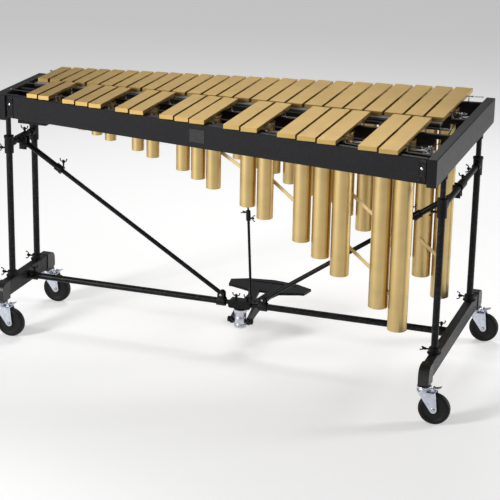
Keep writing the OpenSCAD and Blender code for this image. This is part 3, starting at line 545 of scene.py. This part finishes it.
# ---- nodes kept in their own shape, with rounded edges ----
EDGE_RADII = {
    "base_beams": 1.6, "beam_end_caps": 3.0, "leg_sockets": 1.2, "leg_tubes": 0.6,
    "leg_clamps": 1.6, "cross_tubes": 0.6, "brace_brackets": 1.2, "brace_sleeves": 0.6,
    "brace_rods": 0.6, "crossbar": 0.6, "crossbar_fittings": 1.2, "pedal_carriage": 1.8,
    "pedal": 2.0, "pedal_rod": 0.5, "rod_extension": 0.5, "damper_bar": 0.8, "end_panel_high": 2.4,
    "end_panel_low": 2.4, "fascia": 2.0, "bar_rails": 1.5, "crossmembers": 0.8,
    "frame_brackets": 0.5, "leg_posts": 0.5, "resonator_stoppers": 0.5, "resonator_rails": 0.6,
    "resonator_straps": 0.6, "control_box": 1.6, "drive_belts": 0.6, "natural_fans": 0.25,
    "accidental_fans": 0.25, "motor_pulley": 0.3, "natural_bars_low": 0.9,
    "natural_bars_high": 0.9, "accidental_bars_low": 0.9, "accidental_bars_high": 0.9,
}
for node, radius in EDGE_RADII.items():
    stand_in(node, welded(node), SLOT_OF[node], bevel=radius)


# ---- resonator tubes ----
TUBE_WALL = 1.5
SHAFT_BORE = 4              # radius of the holes that the fan shaft runs through


def resonators(node, spin):
    """Drawn tubes with rolled rims, bored through for the fan shaft."""
    shaft_at, shaft_along = Vector(JOINTS[spin]["pos_m"]), Vector(JOINTS[spin]["axis"])
    bm = bmesh.new()
    for low, high in islands(node):
        c = centre_of((low, high))
        r = (high.x - low.x) / 2 / MM
        inner = r - TUBE_WALL
        foot, rim, shaft = low.z / MM, high.z / MM, shaft_at.z / MM
        outside = [(r - 0.5, foot), (r, foot + 0.5), (r, shaft - 7), (r, shaft + 7), (r, rim - 0.5),
                   (r - 0.5, rim)]
        inside = [(inner + 0.35, rim), (inner, rim - 0.4), (inner, shaft + 7), (inner, shaft - 7)]
        closed_lathe(bm, [(inner, foot + 0.5), (inner + 0.35, foot), *outside, *inside],
                     Matrix.Translation((c.x, c.y, 0)), 64)
    tubes = bpy.data.objects.new("tubes", to_mesh("tubes", bm))
    reach = 720                 # half the cutter's length, past the last tube on either side
    drill = bmesh.new()
    lathe(drill, [(0, 0), (SHAFT_BORE, 0), (SHAFT_BORE, 2 * reach), (0, 2 * reach)],
          placed(shaft_along, shaft_at - shaft_along * reach * MM), 24)
    cutter = bpy.data.objects.new("cutter", to_mesh("cutter", drill))
    for made in (tubes, cutter):
        bpy.context.scene.collection.objects.link(made)
    cut = tubes.modifiers.new("bore", "BOOLEAN")
    cut.operation = "DIFFERENCE"
    cut.object = cutter
    cut.solver = "EXACT"
    bpy.context.view_layer.update()
    bored = tubes.evaluated_get(bpy.context.evaluated_depsgraph_get())
    mesh = bpy.data.meshes.new_from_object(bored)
    for made in (tubes, cutter):
        bpy.data.objects.remove(made)
    smooth(mesh, 40)
    add_mesh(node + "_fine", mesh, BODY_OF[node], SLOT_OF[node], replaced=(node,))


resonators("natural_resonators", "natural_fan_spin")
resonators("accidental_resonators", "accidental_fan_spin")


# ---- screws of the stand ----
WINGS = 17.5 * MM           # how far a CAD thumb screw's wings stand past its shank


def mirrored(profile, length):
    """A (radius, height) profile and its mirror image at the far end of a length."""
    return profile + [(radius, length - height) for radius, height in reversed(profile)]


def stand_screws():
    """The thumb screws and pins, and apart from them the bright bolts at the braces' feet."""
    bm, bright = bmesh.new(), bmesh.new()
    for low, high in islands("stand_screws"):
        c, size = centre_of((low, high)), high - low
        pedal_pin = size.x > 60 * MM
        brace_bolt = size.y > 25 * MM and max(size.x, size.z) < 20 * MM
        on_clamp = 0.60 < c.z < 0.65 and size.x < 30 * MM
        on_socket = 0.19 < c.z < 0.2
        if pedal_pin:
            knob = [(0, 0), (6, 0), (9.2, 1.4), (10, 3), (10, 7.6), (9.2, 9), (5.4, 9.6), (4, 10)]
            lathe(bm, mirrored(knob, size.x / MM), placed(X, Vector((low.x, c.y, c.z))), 40)
        elif brace_bolt:
            bolt = bright if c.z < 0.3 else bm
            shank = size.y / MM - 4.2
            lathe(bolt, [(0, 0), (3, 0), (3, shank), (0, shank)],
                  placed(-Y, Vector((c.x, high.y, c.z))), 24)
            hex_head(bolt, Vector((c.x, low.y + 4 * MM, c.z)), -Y, 10.4, 4)
            hex_head(bolt, Vector((c.x, high.y - 4.2 * MM, c.z)), Y, 10.4, 3.6)
        elif on_clamp or on_socket:
            front_low = c.x > 0 and c.y < 0 and on_socket
            wing_screw(bm, Vector((high.x, c.y, c.z)), -X, (size.x - WINGS) / MM,
                       up=Y if front_low else Z)
        else:
            wing_screw(bm, Vector((c.x, c.y, low.z)), Z, max(3, (size.z - WINGS) / MM), up=X)
    stand_in("stand_screws", bm, "black_casting", 40)
    add_piece("brace_foot_bolts", bright, "stand", "steel", 40)


stand_screws()


# ---- damper rod clutch ----
def rod_clutch():
    """A turned sleeve on the pull rod's slant, with one thumb screw for either rod."""
    foot_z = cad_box("rod_clutch")[0].z
    lean = Vector(JOINTS["rod_extend"]["axis"])
    pedal_pin = Vector(JOINTS["pedal_press"]["pos_m"])
    rod_low, rod_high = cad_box("rod_extension")
    eye = Vector((pedal_pin.x, rod_low.y + 3 * MM, rod_high.z - 7 * MM))
    foot = eye - lean * ((eye.z - foot_z) / lean.z)
    bm = bmesh.new()
    closed_lathe(bm, [(3.4, 0.4), (4, 0), (7.2, 0), (8, 0.8), (8, 24), (7.4, 25), (7.4, 27),
                      (8, 28), (8, 33.6), (6.6, 36), (4, 36), (3.4, 35.6)], placed(lean, foot), 40)
    wing_screw(bm, foot + lean * 9 * MM + X * 7.5 * MM, X, 4, 0.8, Z)
    wing_screw(bm, foot + lean * 28 * MM - X * 7.5 * MM, -X, 4, 0.8, Y)
    return bm


stand_in("rod_clutch", rod_clutch(), "black_casting", 40)


# ---- spring housing under the crossbar ----
def around(centre, radius, count=4):
    """Offsets in the (first, second) directions for screws on a circle, from 45 degrees on."""
    for k in range(count):
        a = math.radians(45 + 360 / count * k)
        yield centre[0] + radius * MM * math.cos(a), centre[1] + radius * MM * math.sin(a)


def spring_housing():
    """A turned cup with ring lines and a bolted flange."""
    low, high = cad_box("spring_housing")
    c = centre_of((low, high))
    h = (high.z - low.z) / MM
    bm = bmesh.new()
    cup = [(0.2, 0), (18, 0), (20.8, 1.6), (20.8, 7.4), (20, 8.2), (20, 14), (19.5, 14.6),
           (20, 15.2), (20, 39), (19.4, 39.8), (20, 40.6), (20, h - 12)]
    flange = [(21, h - 10), (23, h - 9), (23, h - 0.8), (22.2, h), (17.6, h)]
    bore = [(17, h - 0.6), (17, 11), (16, 10), (0.2, 10)]
    closed_lathe(bm, cup + flange + bore, Matrix.Translation((c.x, c.y, low.z)), 64)
    for x, y in around((c.x, c.y), 21.2):
        hex_head(bm, Vector((x, y, high.z - 8.6 * MM)), -Z, 4.4, 2.6)
    return bm


def pedal_spring():
    low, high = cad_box("pedal_spring")
    c = centre_of((low, high))
    bm = bmesh.new()
    helix(bm, Vector((c.x, c.y, low.z)), Z, 12, 1.5, (high.z - low.z) / MM, 5.5)
    return bm


stand_in("spring_housing", spring_housing(), "silver", 40)
stand_in("pedal_spring", pedal_spring(), "steel", 60)


# ---- casters ----
def teardrop(inset=0.0):
    """The fork leg's outline about the swivel axis: broad crown, round eye at the axle."""
    return [(-15 + inset, 107 - inset), (38 - inset, 107 - inset), (40.5 - inset, 97 - inset),
            *arc(34, 50, 11 - inset, 8, -144, 18), (-15.5 + inset, 100)]


def on_edge(at):
    """A placement whose local XY plane stands upright, with local Y up."""
    return Matrix.Translation(at) @ Matrix.Rotation(math.radians(90), 4, "X")


def caster_fork(swivel, pivot):
    """Stem, ball-race head, deck, two pressed legs and the ears of the brake lever."""
    foot = Vector((swivel.x, swivel.y, 0))
    upright = Matrix.Translation(foot)
    bm = bmesh.new()
    lathe(bm, [(0, 104), (18, 104), (19.6, 104.6), (20, 106), (20, 108.4), (18.6, 109), (18.6, 110),
               (21.4, 110.4), (22.4, 111.6), (22.4, 113.4), (21.6, 114.2), (21.6, 114.9),
               (23, 115.4), (23, 118.6), (22.2, 120.1), (20.8, 120.5), (10, 120.5), (8.6, 121.6),
               (6, 121.8), (6, 156), (0, 156)], upright, 56)
    for s in (-1, 1):
        middle = s * 15.5
        prism(bm, teardrop(), middle - 1.5, middle + 1.5, on_edge(foot))
        near, far = middle + s * 1.4, middle + s * 2.2
        prism(bm, teardrop(5.5), min(near, far), max(near, far), on_edge(foot))
    deck = [(-14, -17), (36, -17), (38, -15), (38, 15), (36, 17), (-14, 17),
            *arc(-2, 0, 21, 126, 234, 10)]
    prism(bm, deck, 103.6, 107, upright)
    for s in (-1, 1):
        prism(bm, [(-5, -8), (5, -8), *arc(0, 0, 4.6, -10, 190, 12)], -1.25, 1.25,
              on_edge(pivot + Y * s * 11 * MM))
    lathe(bm, [(0, 0), (1.5, 0), (1.5, 24), (0, 24)], placed(Y, pivot - Y * 12 * MM), 16)
    return bm


def caster_axle(axle):
    bm = bmesh.new()
    lathe(bm, [(0, -20.5), (2.6, -20.4), (4, -19.6), (4, 19.6), (2.6, 20.4), (0, 20.5)],
          placed(Y, axle), 24)
    for s in (-1, 1):
        ring(bm, axle + Y * s * 17.6 * MM, Y, 5.4, 1.3)
        hex_head(bm, axle + Y * s * 17.2 * MM, Y * s, 9, 3.2)
    return bm


def caster_wheel(axle):
    """Tread, dished web and hub in one ring, with a bead round either face."""
    half = [(15.2, 13), (16, 12.3), (17, 10.4), (20, 9.8), (33, 10.0), (34.6, 10.6), (36.2, 12.4),
            (38, 13), (44, 12.7), (47.4, 11), (49.2, 8.4), (49.8, 5), (50, 0)]
    hub = [(14, 13), (5.4, 13), (4.2, 12.4), (4.12, 0), (4.2, -12.4), (5.4, -13), (14, -13)]
    bm = bmesh.new()
    closed_lathe(bm, [(r, -w) for r, w in half] + half[-2::-1] + hub, placed(Y, axle), 96)
    for s in (-1, 1):
        ring(bm, axle + Y * s * 12.9 * MM, Y, 41, 0.5, steps=96, sides=8)
    return bm


def caster_brake(pivot):
    """A curved lever with a rolled edge round its pin."""
    bm = bmesh.new()
    prism(bm, [(3, 0), (15, 2), (24.4, 6.2), (25, 7.4), (23.6, 9.2), (14, 5), (3, 3.4)], -8.6, 8.6,
          on_edge(pivot))
    closed_lathe(bm, [(1.6, -9), (3.4, -9), (3.4, 9), (1.6, 9)], placed(Y, pivot), 24)
    return bm


def caster(corner):
    swivel, axle, pivot = (Vector(JOINTS[kind + corner]["pos_m"])
                           for kind in ("swivel_", "roll_", "brake_"))
    fork, wheel, brake = "fork_" + corner, "wheel_" + corner, "brake_" + corner
    add_piece("fork_fine_" + corner, caster_fork(swivel, pivot), BODY_OF[fork], "zinc",
              bevel=0.5, replaced=(fork,))
    add_piece("axle_" + corner, caster_axle(axle), BODY_OF[fork], "steel", bevel=0.2, segments=1)
    add_piece("wheel_fine_" + corner, caster_wheel(axle), BODY_OF[wheel], "wheel_rubber", 50,
              replaced=(wheel,))
    add_piece("brake_fine_" + corner, caster_brake(pivot), BODY_OF[brake], "zinc",
              bevel=0.5, replaced=(brake,))


for corner in ("front_high", "rear_high", "front_low", "rear_low"):
    caster(corner)


# ---- cord posts, cords and their end springs ----
def cord_posts():
    """A threaded stem on a flange, with an eye at its top that the cord runs through."""
    bm = bmesh.new()
    for low, high in islands("cord_posts"):
        c = centre_of((low, high))
        eye = high.z - 3.4 * MM
        stem = (eye - low.z) / MM - 2.6
        threads = []
        for k in range(4):
            threads += [(1.4, 5.6 + k * 1.1), (1.75, 6.1 + k * 1.1)]
        lathe(bm, [(0, 0), (4.2, 0), (4.2, 0.8), (3.0, 1.2), (3.0, 4.4), (2.4, 5), *threads,
                   (1.6, 10.4), (1.6, stem), (0, stem)], Matrix.Translation((c.x, c.y, low.z)), 14)
        ring(bm, Vector((c.x, c.y, eye)), X, 2.75, 0.7, steps=16, sides=6)
    return bm


def cord_rises(low, high):
    """True where the cord runs towards -Y as x grows: the rows fan out from the damper bar."""
    return centre_of((low, high)).y < centre_of(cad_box("damper_bar")).y


def cord_ends(low, high):
    """The two ends of a cord's centre line, half its thickness inside its box."""
    rises = cord_rises(low, high)
    height = centre_of((low, high)).z
    inset = -1.5 * MM if rises else 1.5 * MM
    start_y, stop_y = (high.y, low.y) if rises else (low.y, high.y)
    return Vector((low.x, start_y + inset, height)), Vector((high.x, stop_y - inset, height))


def cad_wall(out):
    """The x of the end panel's inner face on that side."""
    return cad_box("end_panel_low")[0].x if out.x > 0 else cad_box("end_panel_high")[1].x


def laid_cord(bm, start, stop):
    """Three strands twisted round a straight line."""
    strands, pitch, steps = 3, 8, 520       # pitch in steps
    for strand in range(strands):
        path = []
        for k in range(steps + 1):
            a = 2 * math.pi * (strand / strands + k / pitch)
            offset = Y * 0.62 * MM * math.cos(a) + Z * 0.62 * MM * math.sin(a)
            path.append(start + (stop - start) * k / steps + offset)
        sweep(bm, path, 0.85 * MM, 5)


def cords():
    """Four laid cords, straight through the eyes of the posts, knotted and hung on springs."""
    cord, hooks = bmesh.new(), bmesh.new()
    for low, high in islands("bar_cords"):
        start, stop = cord_ends(low, high)
        along = (stop - start).normalized()
        laid_cord(cord, start, stop)
        for at, out in ((start, -along), (stop, along)):
            lathe(cord, [(0, -2.2), (1.8, -2), (3.0, -0.6), (3.1, 0.8), (2.0, 2.4), (0, 2.6)],
                  placed(out, at - out * 1.5 * MM), 14)
            reach = abs((cad_wall(out) - at.x) / out.x) / MM
            helix(hooks, at, out, 2.2, 0.45, reach - 3, max(5, int(reach / 2.2)), 6)
            ring(hooks, at + out * (reach - 2.4) * MM, Y, 2.4, 0.6, steps=14, sides=6)
    stand_in("bar_cords", cord, "cord", 60)
    add_piece("cord_hooks", hooks, "frame", "steel", 60)


stand_in("cord_posts", cord_posts(), "steel", 50)
cords()


# ---- damper springs and felt ----
def damper_springs():
    """The first of the springs stands in for the CAD node of them all."""
    boxes = sorted(islands("damper_springs"), key=lambda pair: pair[0].x)
    for number, (low, high) in enumerate(boxes):
        bm = bmesh.new()
        c = centre_of((low, high))
        helix(bm, Vector((c.x, c.y, low.z)), Z, 7, 0.9, (high.z - low.z) / MM, 6.5)
        spring = add_piece("damper_spring_%d" % number, bm, "frame", "steel", 60,
                           replaced=("damper_springs",) if number == 0 else ())
        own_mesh(spring)


def felt_strip():
    """A long felt pad with rounded, slightly uneven edges."""
    low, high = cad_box("damper_felt")
    width, height = (high.y - low.y) / MM, (high.z - low.z) / MM
    section = [(0.3, 0), (0, 1.2), (0, height - 2), (0.8, height - 0.6), (2.4, height),
               (width * 0.3, height), (width * 0.5, height), (width * 0.7, height),
               (width - 2.4, height), (width - 0.8, height - 0.6), (width, height - 2),
               (width, 1.2), (width - 0.3, 0)]
    bm = bmesh.new()
    loops = []
    steps = 460
    for k in range(steps + 1):
        x = low.x + (high.x - low.x) * k / steps
        loop = []
        for y, z in section:
            p = Vector((x, low.y + y * MM, low.z + z * MM))
            lump = noise.noise(p * 260) * 0.35 + noise.noise(p * 900) * 0.25
            if z > 0.5:
                p.z -= abs(lump) * MM
                p.y += lump * 0.5 * MM if 0 < y < width else 0
            loop.append(bm.verts.new(p))
        loops.append(loop)
    for a, b in zip(loops, loops[1:]):
        bridged(bm, a, b)
    bm.faces.new(loops[0])
    bm.faces.new(loops[-1])
    return bm


damper_springs()
stand_in("damper_felt", felt_strip(), "felt", 60)


# ---- motor and control box ----
def motor():
    """A small round motor: finned can, mounting flange with screws, shaft boss."""
    low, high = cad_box("motor")
    c = centre_of((low, high))
    flange = [(3.2, 0), (31, 0), (31, 3.4), (30.2, 4), (26, 4.4)]
    fins = []
    for k in range(6):
        fins += [(26, 6 + 3.2 * k), (25.2, 6.5 + 3.2 * k), (25.2, 7.5 + 3.2 * k), (26, 8 + 3.2 * k)]
    boss = [(26, 28.6), (24.6, 30), (8.4, 30), (8, 30.6), (8, 32.6), (7.4, 33), (3.2, 33)]
    bm = bmesh.new()
    closed_lathe(bm, flange + fins + boss, placed(-X, Vector((high.x, c.y, c.z))), 64)
    for y, z in around((c.y, c.z), 28.4):
        socket_head(bm, Vector((high.x - 3.4 * MM, y, z)), -X, 2.4, 2.2)
    return bm


def control_details():
    """Speed knob, rocker switch and cover screws on the front of the hanging box."""
    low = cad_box("control_box")[0]
    box_x = low.x + 75 * MM             # the box hangs that far along its mounting strip

    def on_front(x, z):
        return Vector((box_x + x * MM, low.y, low.z + z * MM))

    bm = bmesh.new()
    knob = placed(-Y, on_front(0, 104))
    flutes = [(7.4 if k % 2 else 6.9, a) for k, a in enumerate(whole_turn(48))]
    prism(bm, [(r * math.cos(a), r * math.sin(a)) for r, a in flutes], 0.2, 6.2, knob)
    lathe(bm, [(0, 6.2), (6, 6.2), (5.4, 7.2), (0, 7.4)], knob, 32)
    for z in (20, 136):
        for x in (-7, 7):
            domed_head(bm, on_front(x, z), -Y, 1.9, 1.0)
    switch = placed(-Y, on_front(0, 68))
    prism(bm, [(-9, -6), (9, -6), (9, 6), (-9, 6)], 0, 1.2, switch)
    prism(bm, [(-6.6, -4), (6.6, -4), (6.6, 4), (-6.6, 4)], 1.2, 2.8, switch)
    return bm


stand_in("motor", motor(), "dark_box")
add_piece("control_details", control_details(), "frame", "black_plastic", bevel=0.3, segments=1)


# ---- fascia and panel details ----
def fascia_front(x):
    """The y of the fascia's front face at an x, on the line between its two front corners."""
    verts = [v.co for v in frame["nodes"]["fascia"].data.vertices]
    first, last = min(co.x for co in verts), max(co.x for co in verts)
    left = min((co for co in verts if co.x < first + MM), key=lambda co: co.y)
    right = min((co for co in verts if co.x > last - MM), key=lambda co: co.y)
    return left.y + (right.y - left.y) * (x - left.x) / (right.x - left.x)


def fascia_ends():
    low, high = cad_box("fascia")
    middle = (low.z + high.z) / 2
    return [Vector((x, fascia_front(x), middle)) for x in (low.x, high.x)]


def fascia_out():
    """The direction out of the fascia's front face."""
    left, right = fascia_ends()
    return (right - left).normalized().cross(Z)


def fascia_plate():
    """The blank plate, a little left of the fascia's middle. Its local X points up."""
    left, right = fascia_ends()
    bm = bmesh.new()
    prism(bm, [(-20, -27), (20, -27), (21, -26), (21, 26), (20, 27), (-20, 27), (-21, 26),
               (-21, -26)], -0.3, 1.2, placed(fascia_out(), left + (right - left) * 0.490))
    return bm


def frame_screws():
    """Domed chrome screws with a small recess."""
    out = fascia_out()
    bm = bmesh.new()
    for pair in islands("frame_screws"):
        lathe(bm, [(0, 0), (4.5, 0), (4.5, 1.0), (4.0, 2.1), (2.6, 2.8), (1.5, 2.9), (1.2, 1.6),
                   (0, 1.5)], placed(out, centre_of(pair) - out * 1.5 * MM), 32)
    return bm


def panel_plugs():
    """Flat plugs over the end panels' screws, two on either outer face."""
    bm = bmesh.new()
    for node, side in (("end_panel_high", -1), ("end_panel_low", 1)):
        low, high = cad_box(node)
        face = low.x if side < 0 else high.x
        height = low.z + (high.z - low.z) * 0.42
        for share in (0.10, 0.9):
            at = Vector((face, low.y + (high.y - low.y) * share, height))
            lathe(bm, [(0, -0.3), (5.2, -0.3), (5.2, 0.1), (4.4, 0.5), (1.4, 0.6), (1.2, 0),
                       (0, 0)], placed(X * side, at), 32)
    return bm


add_piece("fascia_plate", fascia_plate(), "frame", "black_plastic", bevel=0.4)
stand_in("frame_screws", frame_screws(), "chrome", 40)
add_piece("panel_plugs", panel_plugs(), "frame", "black_plastic", 40)


# ---- camera, light and floor ----
def camera():
    """The photograph's viewpoint: a long lens, in front of the low end, above the bars."""
    eye = Vector((1.7664, -5.0731, 2.1362))
    yaw, pitch, roll = 0.328, 0.323, 0.019
    ahead = Vector((-math.sin(yaw) * math.cos(pitch), math.cos(yaw) * math.cos(pitch),
                    -math.sin(pitch)))
    level = Vector((math.cos(yaw), math.sin(yaw), 0))
    up = level.cross(ahead)
    x = level * math.cos(roll) + up * math.sin(roll)
    y = up * math.cos(roll) - level * math.sin(roll)
    data = bpy.data.cameras.new("camera")
    data.sensor_width = 36
    data.lens = 122.4
    data.clip_end = 100
    made = bpy.data.objects.new("camera", data)
    axes = Matrix((x, y, -ahead)).transposed()
    made.matrix_world = Matrix.Translation(eye) @ axes.to_4x4()
    bpy.context.scene.collection.objects.link(made)
    bpy.context.scene.camera = made


def area(name, at, aim, size, power):
    """A rectangular soft light at a point, in metres, aimed at another."""
    data = bpy.data.lights.new(name, "AREA")
    data.shape = "RECTANGLE"
    data.size, data.size_y = size
    data.energy = power
    made = bpy.data.objects.new(name, data)
    turn = (Vector(at) - Vector(aim)).to_track_quat("Z", "Y").to_matrix()
    made.matrix_world = Matrix.Translation(at) @ turn.to_4x4()
    bpy.context.scene.collection.objects.link(made)


def lights():
    world = bpy.data.worlds.new("studio")
    world.use_nodes = True
    background = world.node_tree.nodes["Background"]
    background.inputs["Color"].default_value = (1, 1, 1, 1)
    background.inputs["Strength"].default_value = 0.19
    bpy.context.scene.world = world
    bpy.context.scene.view_settings.view_transform = "Standard"
    area("key", (-2.9, -4.0, 2.2), (0, 0, 0.5), (0.9, 2.0), 165)
    area("top", (-0.6, 2.4, 3.2), (0, 0, 0.8), (2.0, 1.2), 45)
    area("side", (3.6, 1.6, 1.2), (0.4, 0, 0.5), (0.8, 1.8), 60)


def floor():
    """A sheet of white paper that glows a little, so that it stays pale under the stand."""
    bm = bmesh.new()
    bmesh.ops.create_grid(bm, x_segments=1, y_segments=1, size=30)
    sheet = bpy.data.objects.new("floor", to_mesh("floor", bm))
    bpy.context.scene.collection.objects.link(sheet)
    paper = Finish("paper", (0.93, 0.93, 0.93), roughness=0.9, Emission_Strength=0.33)
    paper.shader.inputs["Emission Color"].default_value = (1, 1, 1, 1)
    paper.bump(paper.noise((3 * MM,) * 3), 0.05 * MM, 0.2)
    sheet.data.materials.append(paper.material)


camera()
lights()
floor()
